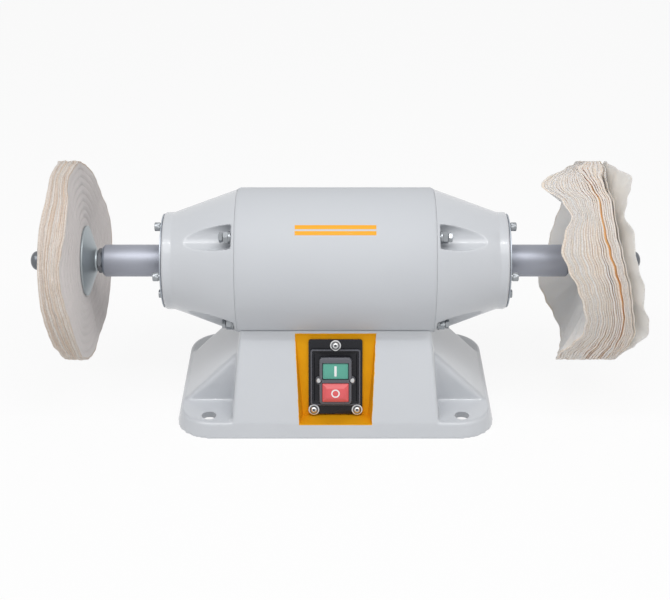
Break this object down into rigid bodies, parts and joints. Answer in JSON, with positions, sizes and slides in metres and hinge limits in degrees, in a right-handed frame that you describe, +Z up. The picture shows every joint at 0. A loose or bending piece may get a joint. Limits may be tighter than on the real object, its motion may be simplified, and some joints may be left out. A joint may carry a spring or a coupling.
{
  "type": "bench polishing machine",
  "caption": "Bench polishing machine: a barrel motor with conical end shields on a cast base, a sewn cotton buff on one spindle, a loose cotton buff on the other, and a push-button switch.",
  "frame": {"origin": "on the bench, at the middle of the base's underside, straight below the middle of the shaft", "axes": "+X along the shaft towards the loose buff, +Z up, -Y out of the front, where the switch is"},
  "size_m": [0.6088, 0.2, 0.248],
  "materials": {
    "grey_paint": "smooth light grey enamel, satin",
    "orange_paint": "orange enamel, satin",
    "cover_aluminium": "turned, matt",
    "turned_steel": "fine turned, satin",
    "zinc_steel": "bright zinc",
    "dark_steel": "rolled sheet, dull",
    "copper": "lacquered winding wire",
    "sewn_cotton": "undyed cotton, stitched in rings",
    "loose_cotton": "undyed cotton, loose plies",
    "black_plastic": "satin black",
    "grey_plastic": "satin dark grey",
    "green_plastic": "satin green",
    "red_plastic": "satin red",
    "black_rubber": "matt black"
  },
  "bodies": {
    "machine": {"base_casting": "grey_paint", "base_cover_plate": "zinc_steel", "base_screw_left": "zinc_steel", "base_screw_right": "zinc_steel", "saddle_bolt_left": "zinc_steel", "saddle_bolt_right": "zinc_steel", "run_capacitor": "cover_aluminium", "terminal_block": "black_plastic", "motor_lead": "black_rubber", "cable_gland": "black_plastic", "motor_housing": "grey_paint", "tie_rod_upper_rear": "zinc_steel", "tie_rod_lower_rear": "zinc_steel", "tie_rod_lower_front": "zinc_steel", "tie_rod_upper_front": "zinc_steel", "stator_core": "dark_steel", "winding_head_left": "copper", "winding_head_right": "copper", "end_shield_left": "grey_paint", "end_shield_right": "grey_paint", "end_cover_left": "cover_aluminium", "end_cover_right": "cover_aluminium", "cover_screw_left_top": "zinc_steel", "cover_screw_left_rear": "zinc_steel", "cover_screw_left_bottom": "zinc_steel", "cover_screw_left_front": "zinc_steel", "cover_screw_right_top": "zinc_steel", "cover_screw_right_front": "zinc_steel", "cover_screw_right_bottom": "zinc_steel", "cover_screw_right_rear": "zinc_steel", "bearing_outer_ring_left": "dark_steel", "bearing_outer_ring_right": "dark_steel", "bearing_cage_left": "dark_steel", "bearing_cage_right": "dark_steel", "switch_plate": "black_plastic", "switch_body": "grey_plastic", "switch_screw_left": "zinc_steel", "switch_screw_right": "zinc_steel", "plate_screw_top": "zinc_steel", "plate_screw_left": "zinc_steel", "plate_screw_right": "zinc_steel"},
    "rotor": {"rotor_shaft": "turned_steel", "rotor_core": "cover_aluminium", "bearing_inner_ring_left": "dark_steel", "bearing_inner_ring_right": "dark_steel", "spindle_sleeve_left": "turned_steel", "spindle_sleeve_right": "turned_steel", "jam_nut_left": "zinc_steel", "jam_nut_right": "zinc_steel", "inner_flange_left": "turned_steel", "inner_flange_right": "turned_steel", "sewn_buff": "sewn_cotton", "loose_buff": "loose_cotton", "outer_flange_left": "turned_steel", "outer_flange_right": "turned_steel", "cap_nut_left": "zinc_steel", "cap_nut_right": "zinc_steel"},
    "start_button": {"start_button": "green_plastic"},
    "stop_button": {"stop_button": "red_plastic"}
  },
  "joints": [
    {"name": "rotor_spin", "type": "hinge", "parent": "machine", "child": "rotor", "pos_m": [0, 0, 0.148], "axis": [1, 0, 0], "continuous": true},
    {"name": "start_press", "type": "slide", "parent": "machine", "child": "start_button", "axis": [0, 0.9563, -0.2924], "range_m": [0, 0.003], "stiffness_N_per_m": 300, "springref_m": -0.002},
    {"name": "stop_press", "type": "slide", "parent": "machine", "child": "stop_button", "axis": [0, 0.9563, -0.2924], "range_m": [0, 0.0035], "stiffness_N_per_m": 300, "springref_m": -0.002}
  ]
}
